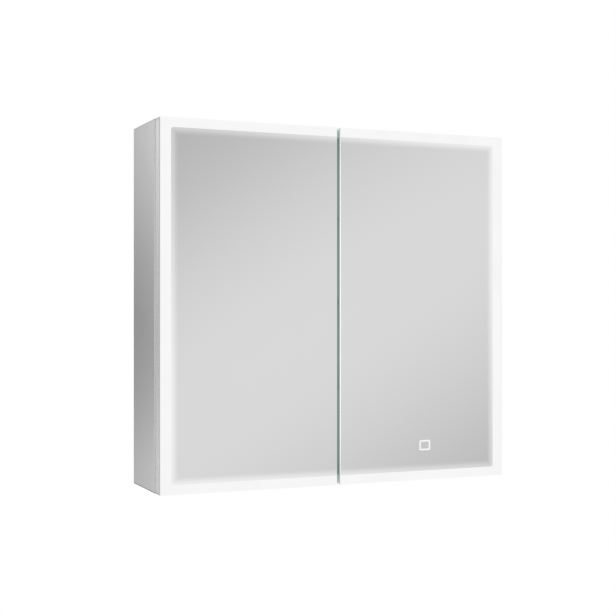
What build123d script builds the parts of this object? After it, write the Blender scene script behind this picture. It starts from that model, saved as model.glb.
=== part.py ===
from build123d import *
import os

# A wall-hung medicine cabinet with two mirrored doors lit from inside their edges. Millimetres.
# +X is to the right, +Y goes into the wall and +Z is up, so the doors face -Y.
# The origin is on the wall plane, midway between the two screw holes of the wall rail.

# ---- overall size ----
WIDTH = 650.0
HEIGHT = 620.0
BODY_DEPTH = 130.0
DOOR_SPACE = 2.0  # between the cabinet's front edges and the door backs
DOOR_THICKNESS = 28.0
RAIL_ABOVE_MIDDLE = 225.0

MIDDLE = -RAIL_ABOVE_MIDDLE
TOP = MIDDLE + HEIGHT / 2
BOTTOM = MIDDLE - HEIGHT / 2
FRONT = -BODY_DEPTH
LEFT = -WIDTH / 2
MID_PLANE = Plane.XY.offset(MIDDLE)

# ---- folded panels: an outer shell of sheet, closed by a flush inner liner ----
PANEL = 14.0
SHEET = 1.5
EDGE_CHAMFER = 0.6
FOLD_RADIUS = 2.0  # along the top and bottom of each side
INNER_X = WIDTH / 2 - PANEL
INNER_TOP = TOP - PANEL
INNER_BOTTOM = BOTTOM + PANEL

# ---- back ----
REAR_SPACE = 20.0  # room behind the back panel for the rail and the wiring
BACK_PANEL = 3.0
BACK_GLASS = 3.0
BACK_FACE = -REAR_SPACE - BACK_PANEL - BACK_GLASS

# ---- shelves ----
SHELF_THICKNESS = 5.0
SHELF_DEPTH = 97.0
SHELF_SPACING = 148.0
PIN_STEP = 32.0  # between a shelf's three choices of pin hole
PIN_ROWS = (-50.0, -104.0)
PIN_R = 2.5
PIN_REACH = 9.0
PAD_R = 4.0
HOLE_CLEARANCE = 0.05

# ---- wall rail and hangers ----
RAIL_LENGTH = 600.0
RAIL_HEIGHT = 40.0
RAIL_SHEET = 2.0
RAIL_STAND_OFF = 10.0
RAIL_LIP = 14.0
WALL_HOLE_SPACING = 440.0
WALL_HOLE_R = 3.25
HANGER_WIDTH = 36.0
ADJUSTER_R = 2.5

# ---- corner brackets and screws behind the back panel ----
BRACKET = 30.0
BRACKET_SHEET = 1.5
BRACKET_DEPTH = 15.0
SCREW_R = 2.0
SCREW_HEAD_R = 3.8
SCREW_HEAD = 1.8

# ---- LED driver ----
DRIVER_X = (60.0, 220.0)
DRIVER_Z = (MIDDLE + 60.0, MIDDLE + 108.0)
DRIVER_WALL = 2.0
DRIVER_FRONT = -REAR_SPACE
DRIVER_BACK = -4.0
BOSS_R = 3.0
PILOT_R = 1.5
CABLE_BUSH_X = 90.0
CABLE_BUSH_Z = MIDDLE + 84.0
CABLE_BUSH_R = 6.5
CABLE_BUSH_NECK_R = 4.6
CABLE_BUSH_BORE_R = 3.25
CABLE_BUSH_LIP = 1.5
CABLE_BUSH_NUT = 3.0
GROMMET_R = 6.0
GROMMET_BORE_R = 3.0
GROMMET_Z = MIDDLE + 150.0
GROMMET_Y = -10.0

# ---- magnetic catches ----
CATCH_X = (-50.0, -10.0)
CATCH_DEPTH = 14.0
CATCH_HEIGHT = 12.0

# ---- pivots: one upper and one lower pin near the outer edge of each door ----
PIVOT_X = LEFT + 8.0
PIVOT_Y = FRONT - 13.5
PIVOT_R = 2.5
PIVOT_LENGTH = 22.0
ARM_SHEET = 2.0
ARM_HALF = 3.5
ARM_EDGE = LEFT + 1.3  # the tip fills its slot in the door's side
ARM_TIP = 8.0  # beyond the pivot
ARM_CLEARANCE = 0.4
ARM_TOP = TOP - 2.5
ARM_BACK = FRONT + 55.0
FLANGE_HEIGHT = 53.5

# ---- doors ----
DOOR_GAP = 5.0
GAP_CENTRE = -3.9  # the gap lies a little to the left of the middle
FRONT_GLASS = 5.0
BACK_DOOR_GLASS = 4.0
GLASS_Z = (BOTTOM, TOP)
GLASS_BACK = FRONT - DOOR_SPACE - DOOR_THICKNESS + FRONT_GLASS
FRAME_BACK = FRONT - DOOR_SPACE - BACK_DOOR_GLASS
BAR = 15.0
FRAME_LIP = 3.0  # from the channel's back, round the back mirror
FRAME_Z = (GLASS_Z[0] + 0.5, GLASS_Z[1] - 0.5)
BACK_GLASS_Z = (BOTTOM + 7.0, TOP - 7.0)
NOTCH_DEPTH = 6.5  # room inside the frame's hinge corners for the pivot arms as the door turns
NOTCH_COVER = 2.0
NOTCH_WIDTH = 18.0
SLOT_FRONT = PIVOT_Y - 9.2  # of the arm's slot in the door's side
KEY_LEG = 40.0
KEY_FRONT = FRONT - 18.0
BUSH_R = 3.5
BUSH_FLANGE_R = 5.0
BUSH_FLANGE = 1.5
DIFFUSER = 3.0
LED_WIDTH = 8.0
LED_THICKNESS = 1.0
RIB_X = (-245.0, -80.0)
RIB_WIDTH = 20.0

# ---- touch sensor, behind the right door's glass ----
TOUCH_X = 165.0
TOUCH_Z = MIDDLE - 248.0
TOUCH_CASE = 30.0
TOUCH_DEPTH = 9.0
TOUCH_WALL = 1.5


def slab(x, y, z, mode=Mode.ADD):
    """Add a box between the low and high coordinates given for each axis."""
    centre = [(low + high) / 2 for low, high in (x, y, z)]
    with Locations(tuple(centre)):
        Box(abs(x[1] - x[0]), abs(y[1] - y[0]), abs(z[1] - z[0]), mode=mode)


def rod(axis, start, length, radius, mode=Mode.ADD):
    """Add a cylinder that runs from start along the positive X, Y or Z direction."""
    turn = {"X": (0, 90, 0), "Y": (-90, 0, 0), "Z": (0, 0, 0)}[axis]
    along = (Align.CENTER, Align.CENTER, Align.MIN)
    with Locations(Location(start, turn)):
        Cylinder(radius, length, align=along, mode=mode)


def save(piece, name):
    """Label a finished piece and write its STEP file."""
    piece.part.label = name
    export_step(piece.part, f"parts/{name}.step")


def save_pair(piece, name):
    """Write a piece drawn on the left, and its mirror image on the right."""
    with BuildPart() as twin:
        mirror(piece.part, about=Plane.YZ)
    save(piece, f"left_{name}")
    save(twin, f"right_{name}")


def span(centre, size):
    """The low and high coordinates of a size about a centre."""
    return (centre - size / 2, centre + size / 2)


os.makedirs("parts", exist_ok=True)
shelf_levels = {
    "upper": MIDDLE + SHELF_SPACING,
    "middle": MIDDLE,
    "lower": MIDDLE - SHELF_SPACING,
}
pivot_screw_places = [(FRONT + 16.0, TOP - 40.0), (FRONT + 42.0, TOP - 40.0)]
bracket_centre = BRACKET / 2
bracket_screw_y = -REAR_SPACE + BRACKET_DEPTH / 2 + 1.0

# ======== carcass panels ========

with BuildPart() as side_shell:
    slab((LEFT, -INNER_X), (FRONT, 0), (BOTTOM, TOP))
    pocket_y = (FRONT + SHEET, -SHEET)
    slab((LEFT + SHEET, -INNER_X), pocket_y, (BOTTOM + SHEET, TOP - SHEET), Mode.SUBTRACT)
    outer_face = side_shell.faces().sort_by(Axis.X)[0]
    fillet(outer_face.edges().filter_by(Axis.Y), FOLD_RADIUS)
    outer_face = side_shell.faces().sort_by(Axis.X)[0]
    chamfer(outer_face.edges().filter_by(Axis.Z), EDGE_CHAMFER)
    # slots in the front return let the pivot arms out
    slot_x = span(PIVOT_X, 2 * ARM_HALF + 1.0)
    slot_y, slot_z = (FRONT - 1, FRONT + SHEET), (ARM_TOP - ARM_SHEET - 0.5, ARM_TOP + 0.5)
    slab(slot_x, slot_y, slot_z, Mode.SUBTRACT)
    slab(slot_x, slot_y, (2 * MIDDLE - slot_z[1], 2 * MIDDLE - slot_z[0]), Mode.SUBTRACT)
save_pair(side_shell, "side_shell")

with BuildPart() as side_liner:
    liner_x = -INNER_X - SHEET
    slab((liner_x, -INNER_X), pocket_y, (BOTTOM + SHEET, TOP - SHEET))
    hole_length = SHEET + 2
    for level in shelf_levels.values():
        for step in (-PIN_STEP, 0, PIN_STEP):
            for y in PIN_ROWS:
                hole_r = PIN_R + HOLE_CLEARANCE
                rod("X", (liner_x - 1, y, level + step), hole_length, hole_r, Mode.SUBTRACT)
    for y, z in pivot_screw_places:
        for height in (z, 2 * MIDDLE - z):
            screw_hole_r = SCREW_R + HOLE_CLEARANCE
            rod("X", (liner_x - 1, y, height), hole_length, screw_hole_r, Mode.SUBTRACT)
    for z in (INNER_TOP - bracket_centre, INNER_BOTTOM + bracket_centre):
        start = (liner_x - 1, bracket_screw_y, z)
        rod("X", start, hole_length, SCREW_R + HOLE_CLEARANCE, Mode.SUBTRACT)
    start = (liner_x - 1, GROMMET_Y, GROMMET_Z)
    rod("X", start, hole_length, GROMMET_R + HOLE_CLEARANCE, Mode.SUBTRACT)
save_pair(side_liner, "side_liner")

with BuildPart() as top_panel_shell:
    slab((-INNER_X, INNER_X), (FRONT, 0), (INNER_TOP, TOP))
    slab((-INNER_X + SHEET, INNER_X - SHEET), pocket_y, (INNER_TOP, TOP - SHEET), Mode.SUBTRACT)
    long_edges = top_panel_shell.faces().sort_by(Axis.Z)[-1].edges().filter_by(Axis.X)
    chamfer(long_edges, EDGE_CHAMFER)
save(top_panel_shell, "top_panel_shell")

with BuildPart() as top_panel_liner:
    slab((-INNER_X + SHEET, INNER_X - SHEET), pocket_y, (INNER_TOP, INNER_TOP + SHEET))
    for x in (-INNER_X + bracket_centre, INNER_X - bracket_centre):
        start = (x, bracket_screw_y, INNER_TOP - 1)
        rod("Z", start, hole_length, SCREW_R + HOLE_CLEARANCE, Mode.SUBTRACT)
save(top_panel_liner, "top_panel_liner")

with BuildPart() as bottom_panel_shell:
    mirror(top_panel_shell.part, about=MID_PLANE)
save(bottom_panel_shell, "bottom_panel_shell")

with BuildPart() as bottom_panel_liner:
    mirror(top_panel_liner.part, about=MID_PLANE)
save(bottom_panel_liner, "bottom_panel_liner")

# ======== back ========

with BuildPart() as back_panel:
    panel_y = (-REAR_SPACE - BACK_PANEL, -REAR_SPACE)
    slab((-INNER_X, INNER_X), panel_y, (INNER_BOTTOM, INNER_TOP))
    for x in (-INNER_X + bracket_centre, INNER_X - bracket_centre):
        for z in (INNER_BOTTOM + bracket_centre, INNER_TOP - bracket_centre):
            start = (x, panel_y[0] - 1, z)
            rod("Y", start, BACK_PANEL + 2, SCREW_R + HOLE_CLEARANCE, Mode.SUBTRACT)
save(back_panel, "back_panel")

with BuildPart() as back_mirror:
    mirror_x = (-INNER_X + 1, INNER_X - 1)
    slab(mirror_x, (BACK_FACE, panel_y[0]), (INNER_BOTTOM + 1, INNER_TOP - 1))
save(back_mirror, "back_mirror")

with BuildPart() as corner_brackets:
    bracket_x = (-INNER_X, -INNER_X + BRACKET)
    bracket_y = (-REAR_SPACE, -REAR_SPACE + BRACKET_DEPTH)
    slab(bracket_x, bracket_y, (INNER_TOP - BRACKET, INNER_TOP))
    inside_x = (bracket_x[0] + BRACKET_SHEET, bracket_x[1])
    inside_y = (bracket_y[0] + BRACKET_SHEET, bracket_y[1])
    slab(inside_x, inside_y, (INNER_TOP - BRACKET, INNER_TOP - BRACKET_SHEET), Mode.SUBTRACT)
    hole_r = SCREW_R + HOLE_CLEARANCE
    centre_x, centre_z = -INNER_X + bracket_centre, INNER_TOP - bracket_centre
    through = 2 * BRACKET_SHEET
    rod("X", (bracket_x[0] - 1, bracket_screw_y, centre_z), through, hole_r, Mode.SUBTRACT)
    start = (centre_x, bracket_screw_y, INNER_TOP - BRACKET_SHEET - 1)
    rod("Z", start, through, hole_r, Mode.SUBTRACT)
    rod("Y", (centre_x, bracket_y[0] - 1, centre_z), through, hole_r, Mode.SUBTRACT)
    mirror(about=Plane.YZ)
    mirror(about=MID_PLANE)
save(corner_brackets, "corner_brackets")

# ======== wall rail and hangers ========

with BuildPart() as wall_rail:
    with BuildSketch(Plane.YZ.offset(-RAIL_LENGTH / 2)):
        half = RAIL_HEIGHT / 2
        lip_back = -RAIL_STAND_OFF + RAIL_SHEET
        outline = [
            (0, -half), (0, half), (lip_back, half), (lip_back, half + RAIL_LIP),
            (-RAIL_STAND_OFF, half + RAIL_LIP), (-RAIL_STAND_OFF, half - RAIL_SHEET),
            (-RAIL_SHEET, half - RAIL_SHEET), (-RAIL_SHEET, -half),
        ]
        Polygon(*outline, align=None)
    extrude(amount=RAIL_LENGTH)
    for x in (-WALL_HOLE_SPACING / 2, WALL_HOLE_SPACING / 2):
        rod("Y", (x, -RAIL_SHEET - 1, 0), RAIL_SHEET + 2, WALL_HOLE_R, Mode.SUBTRACT)
save(wall_rail, "wall_rail")

hook_top = RAIL_HEIGHT / 2 + RAIL_LIP + RAIL_SHEET
hanger_x = (-INNER_X, -INNER_X + HANGER_WIDTH)
hanger_front = -RAIL_STAND_OFF - RAIL_SHEET - 2.0
side_plate_z = (-26.0, 26.0)
adjuster_x = hanger_x[1] - 12.0

with BuildPart() as hanger:
    with BuildSketch(Plane.YZ.offset(hanger_x[0])):
        lip_top = hook_top - RAIL_SHEET
        outline = [
            (hanger_front, -15), (hanger_front, hook_top), (-3, hook_top), (-3, lip_top - 10),
            (-5, lip_top - 10), (-5, lip_top), (hanger_front + RAIL_SHEET, lip_top),
            (hanger_front + RAIL_SHEET, -15),
        ]
        Polygon(*outline, align=None)
    extrude(amount=HANGER_WIDTH)
    plate_y = (-REAR_SPACE + 1, hanger_front + RAIL_SHEET)
    slab((hanger_x[0], hanger_x[0] + RAIL_SHEET), plate_y, side_plate_z)
    start = (adjuster_x, hanger_front - 1, 0)
    rod("Y", start, RAIL_SHEET + 2, ADJUSTER_R + HOLE_CLEARANCE, Mode.SUBTRACT)
save_pair(hanger, "hanger")

with BuildPart() as hanger_adjusters:
    rod("Y", (adjuster_x, hanger_front - 3.0, 0), 3.0, 4.5)
    reach = -RAIL_SHEET - hanger_front
    rod("Y", (adjuster_x, hanger_front, 0), reach, ADJUSTER_R)
    mirror(about=Plane.YZ)
save(hanger_adjusters, "hanger_adjusters")

with BuildPart() as bracket_screws:
    length = BRACKET_SHEET + SHEET + 1.5
    head_x = -INNER_X + BRACKET_SHEET
    rod("X", (head_x, bracket_screw_y, centre_z), SCREW_HEAD, SCREW_HEAD_R)
    rod("X", (head_x - length, bracket_screw_y, centre_z), length, SCREW_R)
    head_z = INNER_TOP - BRACKET_SHEET
    rod("Z", (centre_x, bracket_screw_y, head_z - SCREW_HEAD), SCREW_HEAD, SCREW_HEAD_R)
    rod("Z", (centre_x, bracket_screw_y, head_z), length, SCREW_R)
    head_y = -REAR_SPACE + BRACKET_SHEET
    rod("Y", (centre_x, head_y, centre_z), SCREW_HEAD, SCREW_HEAD_R)
    rod("Y", (centre_x, head_y - 4.0, centre_z), 4.0, SCREW_R)
    mirror(about=Plane.YZ)
    mirror(about=MID_PLANE)
save(bracket_screws, "bracket_screws")

# ======== shelves ========

shelf_y = (BACK_FACE - 1.0 - SHELF_DEPTH, BACK_FACE - 1.0)
for name, level in shelf_levels.items():
    with BuildPart() as shelf:
        shelf_base = level + PAD_R + HOLE_CLEARANCE
        slab((-INNER_X + 1.5, INNER_X - 1.5), shelf_y, (shelf_base, shelf_base + SHELF_THICKNESS))
        chamfer(shelf.edges().filter_by(Axis.X), EDGE_CHAMFER)
    save(shelf, f"{name}_shelf")

with BuildPart() as shelf_pins:
    for level in shelf_levels.values():
        for y in PIN_ROWS:
            rod("X", (-INNER_X - 3, y, level), PIN_REACH + 3, PIN_R)
            rod("X", (-INNER_X, y, level), 1.0, PAD_R - 0.2)
    mirror(about=Plane.YZ)
save(shelf_pins, "shelf_pins")

with BuildPart() as shelf_pads:
    for level in shelf_levels.values():
        for y in PIN_ROWS:
            rod("X", (-INNER_X + 1, y, level), PIN_REACH - 2, PAD_R)
            sleeve_r = PIN_R + HOLE_CLEARANCE
            rod("X", (-INNER_X, y, level), PIN_REACH + 1, sleeve_r, Mode.SUBTRACT)
    mirror(about=Plane.YZ)
save(shelf_pads, "shelf_pads")

# ======== LED driver ========

boss_places = [
    (x, z)
    for x in (DRIVER_X[0] + 6, DRIVER_X[1] - 6)
    for z in (DRIVER_Z[0] + 6, DRIVER_Z[1] - 6)
]
driver_inner_x = (DRIVER_X[0] + DRIVER_WALL, DRIVER_X[1] - DRIVER_WALL)
driver_inner_z = (DRIVER_Z[0] + DRIVER_WALL, DRIVER_Z[1] - DRIVER_WALL)
driver_floor = DRIVER_FRONT + DRIVER_WALL

with BuildPart() as driver_case:
    slab(DRIVER_X, (DRIVER_FRONT, DRIVER_BACK), DRIVER_Z)
    slab(driver_inner_x, (driver_floor, DRIVER_BACK), driver_inner_z, Mode.SUBTRACT)
    for x, z in boss_places:
        rod("Y", (x, driver_floor - 0.5, z), DRIVER_BACK - driver_floor + 0.5, BOSS_R)
        hole_r = PILOT_R + HOLE_CLEARANCE
        rod("Y", (x, DRIVER_BACK - 9, z), 10, hole_r, Mode.SUBTRACT)
save(driver_case, "driver_case")

with BuildPart() as driver_cover:
    slab(DRIVER_X, (DRIVER_BACK, DRIVER_BACK + DRIVER_WALL), DRIVER_Z)
    for x, z in boss_places:
        hole_r = PILOT_R + HOLE_CLEARANCE
        rod("Y", (x, DRIVER_BACK - 1, z), DRIVER_WALL + 2, hole_r, Mode.SUBTRACT)
    start = (CABLE_BUSH_X, DRIVER_BACK - 1, CABLE_BUSH_Z)
    neck_hole_r = CABLE_BUSH_NECK_R + HOLE_CLEARANCE
    rod("Y", start, DRIVER_WALL + 2, neck_hole_r, Mode.SUBTRACT)
save(driver_cover, "driver_cover")

with BuildPart() as driver_board:
    board_x = (CABLE_BUSH_X + 8, DRIVER_X[1] - 12)
    board_z = (driver_inner_z[0] + 6, driver_inner_z[1] - 2)
    board_y = (driver_floor, driver_floor + 1.6)
    slab(board_x, board_y, board_z)
    slab((130, 160), (board_y[1], -7), span(sum(board_z) / 2, 26))
    slab((172, 182), (board_y[1], -8), span(sum(board_z) / 2, 18))
    for x in (108, 118, 194):
        rod("Y", (x, board_y[1], sum(board_z) / 2), 7.5, 4.0)
save(driver_board, "driver_board")

with BuildPart() as driver_screws:
    for x, z in boss_places:
        rod("Y", (x, DRIVER_BACK - 8, z), 8 + DRIVER_WALL, PILOT_R)
        rod("Y", (x, DRIVER_BACK + DRIVER_WALL, z), 1.5, 2.8)
save(driver_screws, "driver_screws")

with BuildPart() as cable_bush:
    # the mains cable enters here from the wall: a lip outside the cover and a nut inside it
    cover_back = DRIVER_BACK + DRIVER_WALL
    rod("Y", (CABLE_BUSH_X, cover_back, CABLE_BUSH_Z), CABLE_BUSH_LIP, CABLE_BUSH_R)
    rod("Y", (CABLE_BUSH_X, DRIVER_BACK, CABLE_BUSH_Z), DRIVER_WALL, CABLE_BUSH_NECK_R)
    with BuildSketch(Plane.XZ.offset(-DRIVER_BACK)):
        with Locations((CABLE_BUSH_X, CABLE_BUSH_Z)):
            RegularPolygon(CABLE_BUSH_R, 6)
    extrude(amount=CABLE_BUSH_NUT)
    start = (CABLE_BUSH_X, DRIVER_BACK - CABLE_BUSH_NUT - 1, CABLE_BUSH_Z)
    rod("Y", start, 10, CABLE_BUSH_BORE_R, Mode.SUBTRACT)
save(cable_bush, "cable_bush")

with BuildPart() as lead_grommets:
    rod("X", (liner_x - 1.5, GROMMET_Y, GROMMET_Z), 1.5, GROMMET_R + 1.5)
    rod("X", (liner_x, GROMMET_Y, GROMMET_Z), SHEET, GROMMET_R)
    rod("X", (-INNER_X, GROMMET_Y, GROMMET_Z), 1.5, GROMMET_R + 1.5)
    rod("X", (liner_x - 3, GROMMET_Y, GROMMET_Z), 8, GROMMET_BORE_R, Mode.SUBTRACT)
    mirror(about=Plane.YZ)
save(lead_grommets, "lead_grommets")

# ======== magnetic catches ========

catch_z = (INNER_TOP - CATCH_HEIGHT, INNER_TOP)
magnet_x = (CATCH_X[0] + 8, CATCH_X[1] - 8)
magnet_y = (FRONT, FRONT + 4)
magnet_z = (catch_z[0] + 2, catch_z[1] - 2)

with BuildPart() as catch_housings:
    slab(CATCH_X, (FRONT, FRONT + CATCH_DEPTH), catch_z)
    fillet(catch_housings.edges().filter_by(Axis.Z).sort_by(Axis.Y)[-2:], 3.0)
    slab(magnet_x, magnet_y, magnet_z, Mode.SUBTRACT)
    mirror(about=Plane.YZ)
    mirror(about=MID_PLANE)
save(catch_housings, "catch_housings")

with BuildPart() as catch_magnets:
    slab(magnet_x, magnet_y, magnet_z)
    mirror(about=Plane.YZ)
    mirror(about=MID_PLANE)
save(catch_magnets, "catch_magnets")

# ======== pivots ========

with BuildPart() as pivot_brackets:
    with BuildSketch(Plane.XY.offset(ARM_TOP - ARM_SHEET)):
        with Locations((PIVOT_X, (PIVOT_Y + ARM_BACK) / 2)):
            Rectangle(2 * ARM_HALF, ARM_BACK - PIVOT_Y)
        tip = (ARM_EDGE, PIVOT_X + ARM_HALF), (PIVOT_Y - ARM_TIP, FRONT - 0.7)
        with Locations(tuple(sum(ends) / 2 for ends in tip)):
            Rectangle(*(ends[1] - ends[0] for ends in tip))
        with Locations((PIVOT_X, PIVOT_Y)):
            Circle(PIVOT_R, mode=Mode.SUBTRACT)
    extrude(amount=ARM_SHEET)
    flange_x = (liner_x - ARM_SHEET, liner_x)
    slab(flange_x, (FRONT + 5.0, ARM_BACK), (ARM_TOP - FLANGE_HEIGHT, ARM_TOP))
    for y, z in pivot_screw_places:
        hole_r = SCREW_R + HOLE_CLEARANCE
        rod("X", (flange_x[0] - 1, y, z), ARM_SHEET + 2, hole_r, Mode.SUBTRACT)
    mirror(about=MID_PLANE)
save_pair(pivot_brackets, "pivot_brackets")

with BuildPart() as pivot_pins:
    rod("Z", (PIVOT_X, PIVOT_Y, ARM_TOP - PIVOT_LENGTH), PIVOT_LENGTH, PIVOT_R)
    chamfer(pivot_pins.faces().sort_by(Axis.Z)[0].edges(), 0.5)
    mirror(about=Plane.YZ)
    mirror(about=MID_PLANE)
save(pivot_pins, "pivot_pins")

with BuildPart() as pivot_screws:
    for y, z in pivot_screw_places:
        rod("X", (-INNER_X, y, z), SCREW_HEAD, SCREW_HEAD_R)
        length = SHEET + ARM_SHEET
        rod("X", (-INNER_X - length, y, z), length, SCREW_R)
    mirror(about=Plane.YZ)
    mirror(about=MID_PLANE)
save(pivot_screws, "pivot_screws")

# ======== doors ========

MEETING_EDGES = {
    "left": GAP_CENTRE - DOOR_GAP / 2,
    "right": -GAP_CENTRE - DOOR_GAP / 2,
}


def save_door(piece, side, name):
    """Write a piece of one door. It is drawn for the left door; the right one is mirrored."""
    if side == "left":
        save(piece, f"left_door_{name}")
    else:
        with BuildPart() as twin:
            mirror(piece.part, about=Plane.YZ)
        save(twin, f"right_door_{name}")


def hinge_notches():
    """Make room inside both hinge corners of the door for the pivot arms."""
    notch_x = (LEFT - 1, LEFT + NOTCH_WIDTH)
    notch_y = (GLASS_BACK, FRONT)
    slab(notch_x, notch_y, (TOP - NOTCH_DEPTH, TOP - NOTCH_COVER), Mode.SUBTRACT)
    slab(notch_x, notch_y, (BOTTOM + NOTCH_COVER, BOTTOM + NOTCH_DEPTH), Mode.SUBTRACT)


def arm_slots():
    """Cut the slots in a bar's walls that the pivot arms pass through as the door turns."""
    low, high = ARM_TOP - ARM_SHEET - ARM_CLEARANCE, ARM_TOP + ARM_CLEARANCE
    for slot_z in ((low, high), (2 * MIDDLE - high, 2 * MIDDLE - low)):
        slab((LEFT - 1, PIVOT_X), (SLOT_FRONT, FRONT), slot_z, Mode.SUBTRACT)
        slab((channel_x[0], LEFT + NOTCH_WIDTH), (GLASS_BACK, FRONT), slot_z, Mode.SUBTRACT)


frame_left = LEFT + 1.0
frame_low, frame_high = FRAME_Z
channel_x = (frame_left + SHEET, frame_left + BAR - SHEET)
top_channel_z = (frame_high - BAR + SHEET, frame_high - SHEET)
bottom_channel_z = (frame_low + SHEET, frame_low + BAR - SHEET)
channel_base = FRAME_BACK - SHEET
bore_length = PIVOT_LENGTH - ARM_SHEET

for side, meeting_x in MEETING_EDGES.items():
    with BuildPart() as door_glass:
        slab((LEFT, meeting_x), (GLASS_BACK - FRONT_GLASS, GLASS_BACK), GLASS_Z)
        chamfer(door_glass.faces().sort_by(Axis.Y)[0].edges(), EDGE_CHAMFER)
    save_door(door_glass, side, "glass")

    with BuildPart() as door_back_mirror:
        slab((LEFT + 4.0, meeting_x - 6.0), (FRAME_BACK, FRONT - DOOR_SPACE), BACK_GLASS_Z)
    save_door(door_back_mirror, side, "back_mirror")

    frame_right = meeting_x - 3.0
    bar_outlines = {
        "hinge_stile": [
            (frame_left, frame_low), (frame_left + BAR, frame_low + BAR),
            (frame_left + BAR, frame_high - BAR), (frame_left, frame_high),
        ],
        "meeting_stile": [
            (frame_right, frame_low), (frame_right, frame_high),
            (frame_right - BAR, frame_high - BAR), (frame_right - BAR, frame_low + BAR),
        ],
        "top_rail": [
            (frame_left, frame_high), (frame_left + BAR, frame_high - BAR),
            (frame_right - BAR, frame_high - BAR), (frame_right, frame_high),
        ],
        "bottom_rail": [
            (frame_left, frame_low), (frame_right, frame_low),
            (frame_right - BAR, frame_low + BAR), (frame_left + BAR, frame_low + BAR),
        ],
    }
    frame_width = frame_right - frame_left
    frame_height = frame_high - frame_low
    frame_centre = ((frame_left + frame_right) / 2, (frame_low + frame_high) / 2)

    for name, outline in bar_outlines.items():
        with BuildPart() as bar:
            with BuildSketch(Plane.XZ.offset(-FRAME_BACK - FRAME_LIP)):
                Polygon(*outline, align=None)
            extrude(amount=FRAME_BACK + FRAME_LIP - GLASS_BACK)
            # the lip on the outer wall surrounds the back mirror
            with BuildSketch(Plane.XZ.offset(-FRAME_BACK - FRAME_LIP)):
                with Locations(frame_centre):
                    Rectangle(frame_width - 2 * SHEET, frame_height - 2 * SHEET)
            extrude(amount=FRAME_LIP, mode=Mode.SUBTRACT)
            # the channel is open towards the front glass and holds the lights
            with BuildSketch(Plane.XZ.offset(-FRAME_BACK + SHEET)):
                with Locations(frame_centre):
                    Rectangle(frame_width - 2 * SHEET, frame_height - 2 * SHEET)
                    inner = 2 * (BAR - SHEET)
                    Rectangle(frame_width - inner, frame_height - inner, mode=Mode.SUBTRACT)
            extrude(amount=FRAME_BACK - GLASS_BACK, mode=Mode.SUBTRACT)
            arm_slots()
            # the pivot pins go in through these holes
            pin_hole_r = PIVOT_R + 0.25
            rod("Z", (PIVOT_X, PIVOT_Y, TOP - NOTCH_COVER - 1), 4, pin_hole_r, Mode.SUBTRACT)
            rod("Z", (PIVOT_X, PIVOT_Y, BOTTOM - 1), 4, pin_hole_r, Mode.SUBTRACT)
        save_door(bar, side, name)

    far_channel_x = (frame_right - BAR + SHEET, frame_right - SHEET)

    with BuildPart() as corner_keys:
        key_y = (KEY_FRONT, channel_base)
        for upright_x, leg_x in (
            (channel_x, (channel_x[0], frame_left + KEY_LEG)),
            (far_channel_x, (frame_right - KEY_LEG, far_channel_x[1])),
        ):
            for level_z, leg_z in (
                (top_channel_z, (frame_high - KEY_LEG, top_channel_z[1])),
                (bottom_channel_z, (bottom_channel_z[0], frame_low + KEY_LEG)),
            ):
                slab(upright_x, key_y, leg_z)
                slab(leg_x, key_y, level_z)
        hinge_notches()
        bore_r = BUSH_R + HOLE_CLEARANCE
        start = (PIVOT_X, PIVOT_Y, TOP - NOTCH_DEPTH - bore_length)
        rod("Z", start, bore_length, bore_r, Mode.SUBTRACT)
        rod("Z", (PIVOT_X, PIVOT_Y, BOTTOM + NOTCH_DEPTH), bore_length, bore_r, Mode.SUBTRACT)
    save_door(corner_keys, side, "corner_keys")

    with BuildPart() as led_strips:
        led_y = (channel_base - LED_THICKNESS, channel_base)
        lit_z = (frame_low + KEY_LEG, frame_high - KEY_LEG)
        lit_x = (frame_left + KEY_LEG, frame_right - KEY_LEG)
        slab(span(sum(channel_x) / 2, LED_WIDTH), led_y, lit_z)
        for channel_z in (top_channel_z, bottom_channel_z):
            slab(lit_x, led_y, span(sum(channel_z) / 2, LED_WIDTH))
    save_door(led_strips, side, "led_strips")

    with BuildPart() as diffusers:
        diffuser_y = (GLASS_BACK, GLASS_BACK + DIFFUSER)
        slab(channel_x, diffuser_y, (bottom_channel_z[0], top_channel_z[1]))
        for channel_z in (top_channel_z, bottom_channel_z):
            slab((channel_x[0], far_channel_x[1]), diffuser_y, channel_z)
        hinge_notches()
    save_door(diffusers, side, "diffusers")

with BuildPart() as pivot_bushes:
    seat = TOP - NOTCH_DEPTH
    bush_length = bore_length - 1.5
    rod("Z", (PIVOT_X, PIVOT_Y, seat - bush_length), bush_length, BUSH_R)
    rod("Z", (PIVOT_X, PIVOT_Y, seat), BUSH_FLANGE, BUSH_FLANGE_R)
    start = (PIVOT_X, PIVOT_Y, seat - bush_length)
    running_r = PIVOT_R + HOLE_CLEARANCE
    rod("Z", start, bush_length + BUSH_FLANGE, running_r, Mode.SUBTRACT)
    mirror(about=MID_PLANE)
save_pair(pivot_bushes, "door_pivot_bushes")

with BuildPart() as spacer_ribs:
    for x in RIB_X:
        slab(span(x, RIB_WIDTH), (GLASS_BACK, FRAME_BACK), (frame_low + BAR, frame_high - BAR))
save_pair(spacer_ribs, "door_spacer_ribs")

with BuildPart() as strike_plates:
    strike_y = (FRONT - DOOR_SPACE, FRONT - DOOR_SPACE + 1)
    slab((CATCH_X[0] + 4, CATCH_X[1] - 4), strike_y, (catch_z[0] + 1, catch_z[1] - 1))
    mirror(about=MID_PLANE)
save_pair(strike_plates, "door_strike_plates")

with BuildPart() as bumpers:
    for x in (-60.0, -290.0):
        rod("Y", (x, FRONT - DOOR_SPACE, TOP - 10.5), DOOR_SPACE - 0.4, 3.0)
    mirror(about=MID_PLANE)
save_pair(bumpers, "door_bumpers")

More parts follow.
